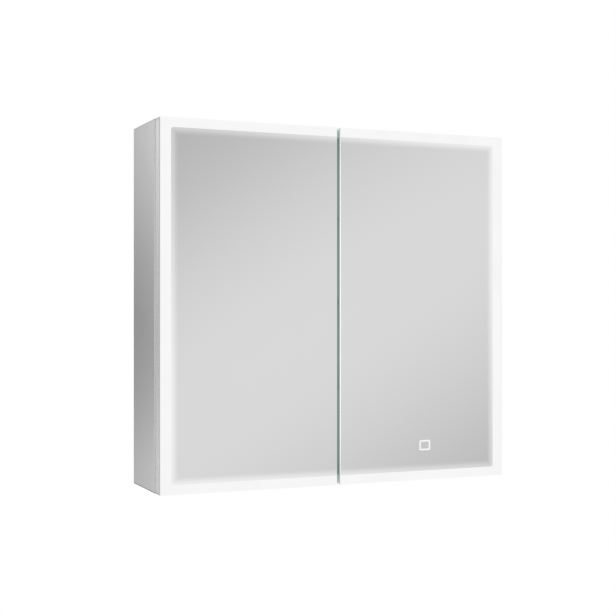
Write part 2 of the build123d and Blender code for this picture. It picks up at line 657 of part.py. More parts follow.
with BuildPart() as touch_sensor:
    case_x, case_z = span(TOUCH_X, TOUCH_CASE), span(TOUCH_Z, TOUCH_CASE)
    slab(case_x, (GLASS_BACK, GLASS_BACK + TOUCH_DEPTH), case_z)
    pocket = TOUCH_CASE - 2 * TOUCH_WALL
    pocket_depth = (GLASS_BACK, GLASS_BACK + TOUCH_DEPTH - TOUCH_WALL)
    slab(span(TOUCH_X, pocket), pocket_depth, span(TOUCH_Z, pocket), Mode.SUBTRACT)
    # the sensing board lies against the glass
    board = pocket + 0.2
    slab(span(TOUCH_X, board), (GLASS_BACK, GLASS_BACK + 1.6), span(TOUCH_Z, board))
save(touch_sensor, "touch_sensor")
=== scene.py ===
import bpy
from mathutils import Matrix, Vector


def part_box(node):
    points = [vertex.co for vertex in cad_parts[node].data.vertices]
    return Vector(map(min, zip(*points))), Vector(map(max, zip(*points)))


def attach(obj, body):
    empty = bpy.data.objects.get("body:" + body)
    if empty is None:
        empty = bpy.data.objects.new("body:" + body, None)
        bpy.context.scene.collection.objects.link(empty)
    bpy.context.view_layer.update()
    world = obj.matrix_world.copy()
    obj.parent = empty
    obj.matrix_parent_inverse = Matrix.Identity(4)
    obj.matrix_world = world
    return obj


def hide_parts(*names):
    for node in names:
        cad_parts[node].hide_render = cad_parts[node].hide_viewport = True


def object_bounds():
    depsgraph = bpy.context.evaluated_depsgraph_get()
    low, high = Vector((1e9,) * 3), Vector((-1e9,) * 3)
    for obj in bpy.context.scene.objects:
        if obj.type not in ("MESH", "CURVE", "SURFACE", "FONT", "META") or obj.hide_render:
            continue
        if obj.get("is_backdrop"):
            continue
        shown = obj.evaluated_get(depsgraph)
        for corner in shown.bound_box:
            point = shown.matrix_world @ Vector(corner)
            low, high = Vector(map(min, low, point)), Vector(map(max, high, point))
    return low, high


bl_info = {
    "name": "Lit Mirror Cabinet",
    "version": (1, 0, 0),
    "blender": (4, 5, 0),
    "location": "View3D > Sidebar > Cabinet",
    "description": "Builds the looks of a wall-hung cabinet with two lit, mirrored doors",
    "category": "Add Mesh",
}

import math

import bmesh
import bpy
from bpy.props import FloatProperty, FloatVectorProperty, PointerProperty
from bpy.types import Operator, Panel, PropertyGroup
from mathutils import Matrix, Vector

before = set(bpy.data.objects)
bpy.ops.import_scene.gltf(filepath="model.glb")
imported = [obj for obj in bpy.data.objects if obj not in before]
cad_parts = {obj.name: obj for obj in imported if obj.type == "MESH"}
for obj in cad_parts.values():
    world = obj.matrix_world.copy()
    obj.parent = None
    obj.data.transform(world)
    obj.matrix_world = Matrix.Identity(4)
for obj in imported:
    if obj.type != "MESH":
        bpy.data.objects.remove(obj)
CAD_LOW, CAD_HIGH = (Vector(corner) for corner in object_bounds())
MIDDLE = (CAD_LOW + CAD_HIGH) / 2
SIDES = ("left", "right")
MM = 0.001


# ======== settings ========


def length_setting(name, description, millimetres):
    """A length, given in millimetres."""
    return FloatProperty(
        name=name, description=description, default=millimetres * MM, unit="LENGTH"
    )


def colour_setting(name, description, default):
    """A colour in linear RGB."""
    return FloatVectorProperty(
        name=name, description=description, default=default, min=0.0, max=1.0, subtype="COLOR"
    )


def amount_setting(name, description, default, **kind):
    """An amount that can't be negative; kind adds its unit or its upper limit."""
    return FloatProperty(name=name, description=description, default=default, min=0.0, **kind)


class LightSettings(PropertyGroup):
    """The frosted, lit border of the doors and the touch symbol."""

    border_side: length_setting(
        "Side border", "Width of the frosted border on the left and right", 19.3
    )
    border_end: length_setting(
        "End border", "Width of the frosted border along the top and bottom", 16.8
    )
    corner: length_setting(
        "Corner radius", "Radius of the mirror's corners where it meets the border", 5.0
    )
    brightness: amount_setting(
        "Brightness", "Strength of the light that leaves the border", 0.74
    )
    # the mirror's glow is painted: the mirror face itself emits it near the border
    glow: amount_setting(
        "Glow", "Strength of the light that spills into the mirror at the border", 0.175
    )
    glow_reach: length_setting("Glow reach", "Distance over which the spilled light fades", 13.5)
    colour: colour_setting("Light colour", "Colour of the lamps", (1.0, 1.0, 1.0))
    symbol_width: length_setting("Symbol width", "Outside width of the touch symbol", 21.9)
    symbol_height: length_setting("Symbol height", "Outside height of the touch symbol", 18.4)
    symbol_line: length_setting("Symbol line", "Line width of the touch symbol", 3.0)
    symbol_corner: length_setting("Symbol corner", "Outer corner radius of the touch symbol", 3.0)


class GlassSettings(PropertyGroup):
    """Mirror panes and glass shelves."""

    silver: colour_setting("Silver", "Colour of the mirror's reflection", (0.92, 0.92, 0.92))
    edge: colour_setting("Edge", "Colour of the ground glass edges", (0.20, 0.27, 0.245))
    arris: length_setting("Arris", "Width of the ground slope on the edges of a pane", 0.9)
    pane_corner: length_setting("Pane corner", "Corner radius of a pane", 1.5)
    shelf_corner: length_setting("Shelf corner", "Corner radius of a shelf", 6.0)
    shelf_tint: colour_setting(
        "Shelf tint", "Colour of the clear shelf glass", (0.93, 0.985, 0.965)
    )


class MetalSettings(PropertyGroup):
    """Aluminium panels and frames."""

    shell: colour_setting("Shell", "Colour of the satin outer shells", (0.765, 0.765, 0.77))
    shell_roughness: amount_setting(
        "Shell roughness", "Roughness of the satin outer shells", 0.36, max=1.0, subtype="FACTOR"
    )
    door_frame: colour_setting("Door frame", "Colour of the door frame bars", (0.93, 0.93, 0.935))
    line_spacing: length_setting("Line spacing", "Spacing of the brushed lines", 0.8)


class StageSettings(PropertyGroup):
    """Camera, lights and floor."""

    camera_side: length_setting(
        "Camera to the side", "How far left of the cabinet the camera stands", 568.4
    )
    camera_front: length_setting(
        "Camera in front", "How far the camera stands in front of the doors", 1939.8
    )
    camera_drop: length_setting(
        "Camera drop", "How far the camera is below the middle of the cabinet", 3.2
    )
    camera_turn: FloatProperty(
        name="Camera turn",
        description="How far the camera is turned to the right",
        default=math.radians(23.2),
        subtype="ANGLE",
    )
    lens: amount_setting("Lens", "Focal length of the camera", 72.0, unit="CAMERA")
    floor_drop: length_setting("Floor drop", "Height of the cabinet above the floor", 1250.0)
    floor_radius: length_setting(
        "Floor radius", "Radius of the floor, which fades out at its edge", 1500.0
    )
    room_light: amount_setting("Room light", "Strength of the soft light from all round", 0.80)
    wall_low: amount_setting(
        "Wall, middle", "Brightness reflected from beside the wall, level with the middle", 0.235
    )
    wall_high: amount_setting(
        "Wall, ends", "Brightness reflected from beside the wall, above and below", 0.945
    )
    wall_below: amount_setting(
        "Wall, below", "Brightness reflected from the wall near the floor", 0.22
    )
    wall_above: amount_setting(
        "Wall, above", "Brightness reflected from the wall near the ceiling", 0.36
    )
    key_light: amount_setting(
        "Key light", "Power of the large soft light on the left", 3.0, unit="POWER"
    )


class CabinetSettings(PropertyGroup):
    """All the settings of the cabinet."""

    light: PointerProperty(type=LightSettings)
    glass: PointerProperty(type=GlassSettings)
    metal: PointerProperty(type=MetalSettings)
    stage: PointerProperty(type=StageSettings)


def settings():
    """The cabinet's settings in this scene."""
    return bpy.context.scene.mirror_cabinet


# ======== node helpers ========


def add_node(tree, kind, **values):
    """A new node; values name its properties."""
    node = tree.nodes.new(kind)
    for key, value in values.items():
        setattr(node, key, value)
    return node


def feed(tree, socket, value):
    """Link a socket, or set it to a number or a colour."""
    if isinstance(value, bpy.types.NodeSocket):
        tree.links.new(value, socket)
    else:
        socket.default_value = value


def set_sockets(node, **values):
    """Set inputs to constants; a name's underscores stand for spaces."""
    for key, value in values.items():
        node.inputs[key.replace("_", " ")].default_value = value


def maths(tree, operation, *values):
    """One arithmetic step; values are sockets or numbers."""
    node = add_node(tree, "ShaderNodeMath", operation=operation)
    for socket, value in zip(node.inputs, values):
        feed(tree, socket, value)
    return node.outputs[0]


def blend_colour(tree, factor, first, second):
    """Mix two colours: the first at 0, the second at 1."""
    node = add_node(tree, "ShaderNodeMix", data_type="RGBA")
    feed(tree, node.inputs["Factor"], factor)
    feed(tree, node.inputs[6], rgba(first))
    feed(tree, node.inputs[7], rgba(second))
    return node.outputs[2]


def map_range(tree, value, low, high, new_low, new_high, smooth=False):
    """Carry low..high over to new_low..new_high, held at both ends."""
    node = add_node(tree, "ShaderNodeMapRange", clamp=True)
    if smooth:
        node.interpolation_type = "SMOOTHSTEP"
    for name, number in zip(
        ("Value", "From Min", "From Max", "To Min", "To Max"),
        (value, low, high, new_low, new_high),
    ):
        feed(tree, node.inputs[name], number)
    return node.outputs["Result"]


def place(tree, scale=(1.0, 1.0, 1.0)):
    """The surface point in the piece's own metres, stretched by a scale."""
    coordinates = add_node(tree, "ShaderNodeTexCoord")
    mapping = add_node(tree, "ShaderNodeMapping")
    tree.links.new(coordinates.outputs["Object"], mapping.inputs["Vector"])
    mapping.inputs["Scale"].default_value = scale
    return mapping.outputs["Vector"]


def noise(tree, scale, detail=2.0, roughness=0.5, stretch=(1.0, 1.0, 1.0)):
    """Soft noise over the surface; a stretch pulls it into streaks."""
    node = add_node(tree, "ShaderNodeTexNoise")
    feed(tree, node.inputs["Vector"], place(tree, stretch))
    set_sockets(node, Scale=scale, Detail=detail, Roughness=roughness)
    return node.outputs["Fac"]


def bump(tree, shader, height, distance, strength=1.0):
    """Fine relief that follows a pattern."""
    node = add_node(tree, "ShaderNodeBump")
    feed(tree, node.inputs["Height"], height)
    set_sockets(node, Distance=distance, Strength=strength)
    tree.links.new(node.outputs["Normal"], shader.inputs["Normal"])


def rgba(colour):
    """A colour with its alpha; a socket is passed on as it is."""
    if isinstance(colour, bpy.types.NodeSocket):
        return colour
    return (*tuple(colour)[:3], 1.0)


def shade(colour, factor):
    """A lighter or darker colour."""
    return [min(1.0, channel * factor) for channel in colour]


def surface_axes(tree, source="Object"):
    """X, Y and Z of the surface point in metres; for the world, of the direction."""
    coordinates = add_node(tree, "ShaderNodeTexCoord")
    axes = add_node(tree, "ShaderNodeSeparateXYZ")
    tree.links.new(coordinates.outputs[source], axes.inputs[0])
    return axes.outputs


def vary_colour(tree, shader, pattern, first, second):
    """Let the surface's colour follow a pattern."""
    feed(tree, shader.inputs["Base Color"], blend_colour(tree, pattern, first, second))


def vary_roughness(tree, shader, pattern, low, high):
    """Let the surface's roughness follow the middle of a pattern of noise."""
    feed(tree, shader.inputs["Roughness"], map_range(tree, pattern, 0.3, 0.7, low, high))


def new_material(name, **values):
    """A material with one Principled shader; returns (material, tree, shader)."""
    material = bpy.data.materials.new(name)
    material.use_nodes = True
    tree = material.node_tree
    tree.nodes.clear()
    output = add_node(tree, "ShaderNodeOutputMaterial")
    shader = add_node(tree, "ShaderNodeBsdfPrincipled")
    tree.links.new(shader.outputs["BSDF"], output.inputs["Surface"])
    set_sockets(shader, **values)
    return material, tree, shader


# ======== materials ========

PAINTED_SHADE = (0.05, 0.05, 0.05)  # painted shade at the folds and the front corner of a side shell


def brushed_metal(name, colour, roughness, along, spacing, painted_wall_shade=0.0):
    """Satin metal with lines along X, Y or Z; a nonzero last argument paints shade and a glow on
    a side shell.
    """
    material, tree, shader = new_material(name, Metallic=1.0)
    stretch = [1.0 / spacing] * 3
    stretch["XYZ".index(along)] *= 0.008
    lines = noise(tree, 1.0, detail=3.0, roughness=0.65, stretch=stretch)
    clouds = noise(tree, 9.0, detail=3.0)
    mixed = blend_colour(tree, lines, shade(colour, 0.96), shade(colour, 1.03))
    # painted shade towards the wall and at the folds, and a painted glow on the front face
    if painted_wall_shade:
        mixed = paint_shell_light_and_shade(tree, shader, mixed, shade(colour, 1.0 - painted_wall_shade))
    feed(tree, shader.inputs["Base Color"], mixed)
    shaded = map_range(tree, lines, 0.3, 0.7, roughness - 0.04, roughness + 0.04)
    cloud_shift = map_range(tree, clouds, 0.3, 0.7, -0.015, 0.015)
    feed(tree, shader.inputs["Roughness"], maths(tree, "ADD", shaded, cloud_shift))
    bump(tree, shader, lines, 0.03 * MM, 0.25)
    return material


def paint_shell_light_and_shade(tree, shader, mixed, wall_shade_colour):
    """Paint shade on a side shell towards the wall and at its folds, and paint a glow on its
    front face.
    """
    axes = surface_axes(tree)
    across = maths(tree, "ABSOLUTE", axes["X"])
    front_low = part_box("left_side_shell")[0]
    outer_x, front_y = -front_low[0], front_low[1]
    # painted shade: the shell darkens towards the wall
    towards_wall = map_range(tree, axes["Y"], CAD_LOW.y, 0.0, 0.0, 1.0)
    mixed = blend_colour(tree, towards_wall, mixed, wall_shade_colour)
    # painted shade darkens the sheet along its folds, more so along the bottom
    on_fold = maths(tree, "GREATER_THAN", across, outer_x - 2.0 * MM)
    for edge, inside, strength in (
        (CAD_LOW.z + 0.8 * MM, CAD_LOW.z + 3.0 * MM, 0.80),
        (CAD_HIGH.z, CAD_HIGH.z - 2.0 * MM, 0.30),
    ):
        near = map_range(tree, axes["Z"], edge, inside, strength, 0.0)
        painted_fold_shade = maths(tree, "MULTIPLY", near, on_fold)
        mixed = blend_colour(tree, painted_fold_shade, mixed, PAINTED_SHADE)
    # painted shade darkens the front face's corner, and a painted glow lights a strip of the
    # front face as if the doors lit it
    corner = map_range(
        tree, axes["Y"], front_y + 0.62 * MM, front_y + 0.58 * MM, 0.0, 0.15
    )
    mixed = blend_colour(tree, corner, mixed, PAINTED_SHADE)
    on_front = maths(tree, "LESS_THAN", axes["Y"], front_y + 0.02 * MM)
    on_edge = maths(tree, "GREATER_THAN", across, outer_x - 2.3 * MM)
    lit = maths(tree, "MULTIPLY", on_front, on_edge)
    shader.inputs["Emission Color"].default_value = rgba((1.0, 1.0, 1.0))
    feed(tree, shader.inputs["Emission Strength"], maths(tree, "MULTIPLY", lit, 0.25))
    return mixed


def plated_steel(name, colour, roughness=0.32):
    """Zinc-plated sheet: bright, with soft cloudy patches."""
    material, tree, shader = new_material(name, Metallic=1.0)
    patches = noise(tree, 90.0, detail=5.0, roughness=0.55)
    warm = (colour[0] * 1.02, colour[1] * 1.01, colour[2] * 0.98)
    cool = (colour[0] * 0.97, colour[1] * 0.98, colour[2] * 1.0)
    vary_colour(tree, shader, patches, warm, cool)
    vary_roughness(tree, shader, patches, roughness - 0.03, roughness + 0.03)
    bump(tree, shader, noise(tree, 900.0), 0.02 * MM, 0.3)
    return material


def polished_metal(name, colour):
    """Bright turned metal with fine marks round it."""
    material, tree, shader = new_material(name, Metallic=1.0)
    marks = noise(tree, 1.0, stretch=(60.0, 900.0, 900.0))
    vary_colour(tree, shader, marks, colour, shade(colour, 1.02))
    vary_roughness(tree, shader, marks, 0.08, 0.16)
    return material


def moulded_plastic(name, colour, roughness):
    """Injection-moulded plastic with a fine eroded grain."""
    material, tree, shader = new_material(name)
    grains = noise(tree, 1400.0)
    clouds = noise(tree, 25.0)
    vary_colour(tree, shader, clouds, shade(colour, 0.95), colour)
    vary_roughness(tree, shader, grains, roughness - 0.05, roughness + 0.07)
    bump(tree, shader, grains, 0.02 * MM, 0.5)
    return material


def coated_sheet(name, colour):
    """Powder-coated sheet with a faint orange-peel surface."""
    material, tree, shader = new_material(name)
    peel = noise(tree, 420.0)
    clouds = noise(tree, 6.0, detail=4.0)
    vary_colour(tree, shader, clouds, shade(colour, 0.96), colour)
    vary_roughness(tree, shader, peel, 0.42, 0.52)
    bump(tree, shader, peel, 0.05 * MM, 0.4)
    return material


def soft_rubber(name, colour, clear=False):
    """Rubber or clear silicone with a matt skin."""
    material, tree, shader = new_material(name)
    skin = noise(tree, 1100.0, detail=3.0)
    vary_colour(tree, shader, skin, colour, shade(colour, 1.15))
    low, high = (0.22, 0.34) if clear else (0.6, 0.75)
    vary_roughness(tree, shader, skin, low, high)
    if clear:
        set_sockets(shader, Transmission_Weight=0.75, IOR=1.41)
    bump(tree, shader, skin, 0.02 * MM, 0.3)
    return material


def circuit_board(name):
    """Green solder mask with fine copper tracks."""
    material, tree, shader = new_material(name, Roughness=0.3)
    tracks = add_node(tree, "ShaderNodeTexBrick", offset=0.37, squash=0.7)
    feed(tree, tracks.inputs["Vector"], place(tree))
    mask, track, between = (0.018, 0.16, 0.07), (0.024, 0.19, 0.085), (0.05, 0.30, 0.13)
    set_sockets(tracks, Scale=160.0, Mortar_Size=0.035)
    set_sockets(tracks, Color1=rgba(mask), Color2=rgba(track), Mortar=rgba(between))
    tree.links.new(tracks.outputs["Color"], shader.inputs["Base Color"])
    bump(tree, shader, tracks.outputs["Fac"], 0.03 * MM, 0.5)
    return material


def lamp_plastic(name, colour, strength):
    """Opal acrylic in front of the lamps."""
    material, tree, shader = new_material(
        name, Roughness=0.35, Emission_Color=rgba(colour), Emission_Strength=strength
    )
    milk = noise(tree, 60.0)
    vary_colour(tree, shader, milk, shade(colour, 0.97), colour)
    return material


def foam_board(name):
    """Expanded foam with small closed cells."""
    material, tree, shader = new_material(name, Roughness=0.9)
    cells = add_node(tree, "ShaderNodeTexVoronoi")
    feed(tree, cells.inputs["Vector"], place(tree))
    set_sockets(cells, Scale=450.0)
    pale, paler = (0.80, 0.80, 0.78), (0.90, 0.90, 0.88)
    vary_colour(tree, shader, cells.outputs["Distance"], pale, paler)
    bump(tree, shader, cells.outputs["Distance"], 0.2 * MM, 0.6)
    return material


def ferrite(name):
    """The dark grey, slightly grainy body of a magnet."""
    material, tree, shader = new_material(name, Metallic=0.6)
    grains = noise(tree, 700.0, detail=4.0)
    dark, light = (0.035, 0.035, 0.037), (0.09, 0.09, 0.092)
    vary_colour(tree, shader, grains, dark, light)
    vary_roughness(tree, shader, grains, 0.4, 0.6)
    bump(tree, shader, grains, 0.04 * MM, 0.4)
    return material


def border_distance(tree, mirror_low, mirror_high, corner):
    """Distance outside the rounded edge of the mirror; negative inside it."""
    axes = surface_axes(tree)
    beyond = []
    for axis, low, high in (
        ("X", mirror_low[0], mirror_high[0]),
        ("Z", mirror_low[1], mirror_high[1]),
    ):
        centred = maths(tree, "SUBTRACT", axes[axis], (low + high) / 2)
        outside = maths(tree, "ABSOLUTE", centred)
        beyond.append(maths(tree, "SUBTRACT", outside, (high - low) / 2 - corner))
    squares = [
        maths(tree, "POWER", maths(tree, "MAXIMUM", value, 0.0), 2.0) for value in beyond
    ]
    rounded = maths(tree, "SQRT", maths(tree, "ADD", *squares))
    inside = maths(tree, "MINIMUM", maths(tree, "MAXIMUM", *beyond), 0.0)
    return maths(tree, "SUBTRACT", maths(tree, "ADD", rounded, inside), corner)


def mirror_face(name, silver, glow=0.0, reach=1.0, edge=None, colour=(1, 1, 1)):
    """Silvered glass; with an edge, a painted glow fades into it from the border."""
    material, tree, shader = new_material(name, Metallic=1.0)
    haze = noise(tree, 5.0, detail=4.0)
    vary_colour(tree, shader, haze, shade(silver, 0.995), silver)
    vary_roughness(tree, shader, haze, 0.005, 0.02)
    if edge:
        # painted glow: the mirror face emits light near the border, as if it spilled in
        distance = border_distance(tree, *edge)
        painted_spill = map_range(tree, distance, -reach, 0.0, 0.0, glow, smooth=True)
        shader.inputs["Emission Color"].default_value = rgba(colour)
        feed(tree, shader.inputs["Emission Strength"], painted_spill)
    else:
        # stands for the light that is still passing between mirrors which face each other
        set_sockets(shader, Emission_Color=(0.92, 1.0, 0.97, 1.0), Emission_Strength=0.035)
    return material


def frosted_light(name, colour, strength):
    """Sand-blasted glass lit from behind."""
    material, tree, shader = new_material(
        name, Roughness=0.75, Specular_IOR_Level=0.2, Emission_Color=rgba(colour)
    )
    frost = noise(tree, 1500.0)
    lamps = noise(tree, 14.0, detail=1.0)
    pale, paler = (0.20, 0.20, 0.20), (0.24, 0.24, 0.24)
    vary_colour(tree, shader, frost, pale, paler)
    even = map_range(tree, lamps, 0.3, 0.7, strength * 0.985, strength * 1.015)
    feed(tree, shader.inputs["Emission Strength"], even)
    bump(tree, shader, frost, 0.02 * MM, 0.4)
    return material


def ground_edge(name, colour, edge, painted_glow_colour):
    """Ground edge of a pane of float glass; a painted glow on it stands for the border's light
    that the glass carries.
    """
    material, tree, shader = new_material(
        name, Emission_Color=rgba(painted_glow_colour), Specular_IOR_Level=0.6, IOR=1.52
    )
    # painted glow, brighter near the lit border
    outside = border_distance(tree, *edge)
    painted_edge_glow = map_range(tree, outside, -25 * MM, 4 * MM, 0.55, 0.9, smooth=True)
    feed(tree, shader.inputs["Emission Strength"], painted_edge_glow)
    strokes = noise(tree, 1.0, detail=3.0, stretch=(700.0, 2600.0, 700.0))
    vary_colour(tree, shader, strokes, colour, shade(colour, 1.15))
    vary_roughness(tree, shader, strokes, 0.16, 0.28)
    bump(tree, shader, strokes, 0.01 * MM, 0.3)
    return material


def bright_arris(name):
    """The narrow polished slope along a pane's front edge."""
    material, tree, shader = new_material(name, Roughness=0.15, Metallic=1.0)
    strokes = noise(tree, 1.0, stretch=(900.0, 900.0, 900.0))
    pale, paler = (0.84, 0.93, 0.90), (0.90, 0.97, 0.95)
    vary_colour(tree, shader, strokes, pale, paler)
    bump(tree, shader, strokes, 0.01 * MM, 0.2)
    return material


def backing_paint(name):
    """The grey protective paint on the back of a mirror."""
    material, tree, shader = new_material(name)
    spray = noise(tree, 240.0, detail=4.0)
    dark, light = (0.27, 0.285, 0.29), (0.33, 0.345, 0.35)
    vary_colour(tree, shader, spray, dark, light)
    vary_roughness(tree, shader, spray, 0.45, 0.6)
    bump(tree, shader, spray, 0.03 * MM, 0.3)
    return material


def clear_glass(name, tint):
    """Clear float glass with a faint tint."""
    material, tree, shader = new_material(
        name, Roughness=0.0, Transmission_Weight=1.0, IOR=1.5
    )
    haze = noise(tree, 30.0, detail=3.0)
    vary_colour(tree, shader, haze, shade(tint, 0.99), tint)
    return material


def green_edge(name):
    """Polished shelf edge: the long light path through the glass shows green."""
    material, tree, shader = new_material(name, Transmission_Weight=0.45, IOR=1.5)
    strokes = noise(tree, 1.0, stretch=(300.0, 2400.0, 300.0))
    deep, pale = (0.20, 0.48, 0.38), (0.32, 0.62, 0.52)
    vary_colour(tree, shader, strokes, deep, pale)
    vary_roughness(tree, shader, strokes, 0.05, 0.14)
    return material


# ======== mesh helpers ========


def dress(material, *node_names):
    """Give CAD nodes a material."""
    for node_name in node_names:
        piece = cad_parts[node_name]
        if not piece.data.materials:
            piece.data.materials.append(None)
        for place_in_list in piece.material_slots:
            place_in_list.material = material


def both(name):
    """The left and the right node of a name."""
    return [f"{side}_{name}" for side in SIDES]


def add_object(name, data):
    """A new object in the scene."""
    item = bpy.data.objects.new(name, data)
    bpy.context.scene.collection.objects.link(item)
    return item


def finish_piece(name, mesh_data, body, materials, replaced=(), smooth_angle=None):
    """Turn a bmesh into a piece that rides a body."""
    bmesh.ops.recalc_face_normals(mesh_data, faces=mesh_data.faces)
    mesh = bpy.data.meshes.new(name)
    mesh_data.to_mesh(mesh)
    mesh_data.free()
    piece = add_object(name, mesh)
    for material in materials:
        mesh.materials.append(material)
    if smooth_angle is not None:
        mesh.shade_smooth()
        mesh.set_sharp_from_angle(angle=smooth_angle)
    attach(piece, body)
    if replaced:
        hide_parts(*replaced)


def arc(x, z, radius, start, end, hand=1, steps=6):
    """Points along an arc in XZ, from start to end in degrees; hand -1 mirrors it."""
    turns = [math.radians(start + (end - start) * step / steps) for step in range(steps + 1)]
    return [(x + hand * radius * math.cos(a), z + radius * math.sin(a)) for a in turns]


def rounded_outline(low, high, radius):
    """Points round a rectangle with rounded corners, anticlockwise from the lower right."""
    points = []
    for x, z, start in (
        (high[0] - radius, low[1] + radius, -90),
        (high[0] - radius, high[1] - radius, 0),
        (low[0] + radius, high[1] - radius, 90),
        (low[0] + radius, low[1] + radius, 180),
    ):
        points += arc(x, z, radius, start, start + 90)
    return points


def ring(mesh_data, points, depth):
    """Vertices at (x, z) points, all at one Y."""
    return [mesh_data.verts.new((x, depth, z)) for x, z in points]


def skirt(mesh_data, first, second, material_index):
    """Faces between two rings with the same number of points."""
    count = len(first)
    for index in range(count):
        after = (index + 1) % count
        corners = (first[index], first[after], second[after], second[index])
        mesh_data.faces.new(corners).material_index = material_index


MIN_CORNER = 0.2 * MM  # the least corner radius inside an arris


def flat_pane(mesh_data, low, high, near, far, radius, arris, indices):
    """A closed pane in the XZ plane. indices: near face, far face, edge, arris."""
    shrink = Vector((arris, arris))
    small_low, small_high = Vector(low) + shrink, Vector(high) - shrink
    step = arris if far > near else -arris
    inner = rounded_outline(small_low, small_high, max(radius - arris, MIN_CORNER))
    outer = rounded_outline(low, high, radius)
    rings = [
        ring(mesh_data, inner, near),
        ring(mesh_data, outer, near + step),
        ring(mesh_data, outer, far - step),
        ring(mesh_data, inner, far),
    ]
    near_index, far_index, edge_index, arris_index = indices
    for lower, index in enumerate((arris_index, edge_index, arris_index)):
        skirt(mesh_data, rings[lower], rings[lower + 1], index)
    mesh_data.faces.new(rings[0]).material_index = near_index
    mesh_data.faces.new(rings[3]).material_index = far_index


def node_span(name):
    """The low and high corners of a CAD node's box."""
    low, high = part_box(name)
    return Vector(low), Vector(high)


def separate_pieces(node_name):
    """The vertex positions of each separate solid in a CAD node."""
    mesh_data = bmesh.new()
    mesh_data.from_mesh(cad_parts[node_name].data)
    bmesh.ops.remove_doubles(mesh_data, verts=mesh_data.verts, dist=0.001 * MM)
    waiting = set(mesh_data.verts)
    pieces = []
    for start in mesh_data.verts:
        if start not in waiting:
            continue
        waiting.remove(start)
        found = [start]
        for vert in found:
            for edge in vert.link_edges:
                other = edge.other_vert(vert)
                if other in waiting:
                    waiting.remove(other)
                    found.append(other)
        pieces.append([vert.co.copy() for vert in found])
    mesh_data.free()
    return pieces


def lathe(mesh_data, profile, matrix, segments=24):
    """Turn (radius, height) points about Z; returns the rings, a lone vertex at radius 0."""
    rings = []
    for radius, height in profile:
        count = segments if radius > 0 else 1
        turns = [2 * math.pi * index / segments for index in range(count)]
        points = [(radius * math.cos(a), radius * math.sin(a), height) for a in turns]
        rings.append([mesh_data.verts.new(matrix @ Vector(point)) for point in points])
    for first, second in zip(rings, rings[1:]):
        for index in range(segments):
            after = (index + 1) % segments
            corners = [first[index % len(first)], first[after % len(first)]]
            corners += [second[after % len(second)], second[index % len(second)]]
            mesh_data.faces.new(list(dict.fromkeys(corners)))
    return rings


def screw(mesh_data, matrix, head_radius, head_height, shank_radius, length):
    """A pan-head screw with a cross recess; its head sits on Z = 0 and faces +Z."""
    # (radius, height) from the tip to the rim of the head's flat top
    profile = [
        (0.0, -length),
        (shank_radius * 0.6, -length),
        (shank_radius, -length + 0.8 * MM),
        (shank_radius, 0.0),
        (head_radius, 0.0),
        (head_radius, head_height * 0.4),
        (head_radius * 0.93, head_height * 0.75),
        (head_radius * 0.80, head_height * 0.93),
        (head_radius * 0.66, head_height),
    ]
    rim = lathe(mesh_data, profile, matrix)[-1]
    arm, half = head_radius * 0.52, head_radius * 0.13
    quarter = [(arm, -half), (arm, half), (half, half)]
    outline = []
    for turn in range(4):
        c, s = (1, 0, -1, 0)[turn], (0, 1, 0, -1)[turn]
        outline += [(x * c - y * s, x * s + y * c) for x, y in quarter]
    depths = (head_height, head_height * 0.35)
    upper, lower = (
        [mesh_data.verts.new(matrix @ Vector((x, y, depth))) for x, y in outline]
        for depth in depths
    )
    edges = []
    for loop in (rim, upper):
        for first, second in zip(loop, loop[1:] + loop[:1]):
            edge = mesh_data.edges.get((first, second))
            edges.append(edge or mesh_data.edges.new((first, second)))
    bmesh.ops.bridge_loops(mesh_data, edges=edges)
    skirt(mesh_data, upper, lower, 0)
    mesh_data.faces.new(lower)


def screws_like(node_name):
    """A bmesh of screws that take the places of a CAD node's plain ones."""
    mesh_data = bmesh.new()
    for points in separate_pieces(node_name):
        low = Vector([min(point[axis] for point in points) for axis in range(3)])
        high = Vector([max(point[axis] for point in points) for axis in range(3)])
        size, centre = high - low, (low + high) / 2
        pairs = [abs(size[(axis + 1) % 3] - size[(axis + 2) % 3]) for axis in range(3)]
        axis = pairs.index(min(pairs))
        head_radius = size[(axis + 1) % 3] / 2
        wide, narrow = [], []
        for point in points:
            across = point - centre
            across[axis] = 0.0
            group = wide if across.length > 0.9 * head_radius else narrow
            group.append((point[axis], across.length))
        ends = [value for value, radius in wide]
        shank_radius = max(
            radius for value, radius in narrow if not min(ends) <= value <= max(ends)
        )
        up = 1 if sum(ends) / len(ends) > centre[axis] else -1
        seat, top = (min(ends), max(ends)) if up > 0 else (max(ends), min(ends))
        head_height = abs(top - seat)
        facing = Vector([up if index == axis else 0 for index in range(3)])
        base = centre.copy()
        base[axis] = seat
        turn = facing.to_track_quat("Z", "Y").to_matrix().to_4x4()
        matrix = Matrix.Translation(base) @ turn
        length = size[axis] - head_height
        screw(mesh_data, matrix, head_radius, head_height, shank_radius, length)
    return mesh_data


def soften(node_name, width):
    """Round the sharp edges of a CAD node a little."""
    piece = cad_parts[node_name]
    weld = piece.modifiers.new("Weld", "WELD")
    weld.merge_threshold = 0.001 * MM
    rounding = piece.modifiers.new("Rounding", "BEVEL")
    rounding.width = width
    rounding.segments = 2
    rounding.limit_method = "ANGLE"
    rounding.angle_limit = math.radians(40)
    rounding.harden_normals = True


# ======== doors ========


def mirror_window():
    """Low and high corners of the mirror, across both doors, in X and Z."""
    light = settings().light
    inset = Vector((light.border_side, light.border_end))
    low = node_span("left_door_glass")[0].xz + inset
    high = node_span("right_door_glass")[1].xz - inset
    return tuple(low), tuple(high)


# the order of a front pane's materials
MIRROR, BORDER, EDGE, ARRIS, PAINT, LIT_EDGE, FROSTED_EDGE = range(7)


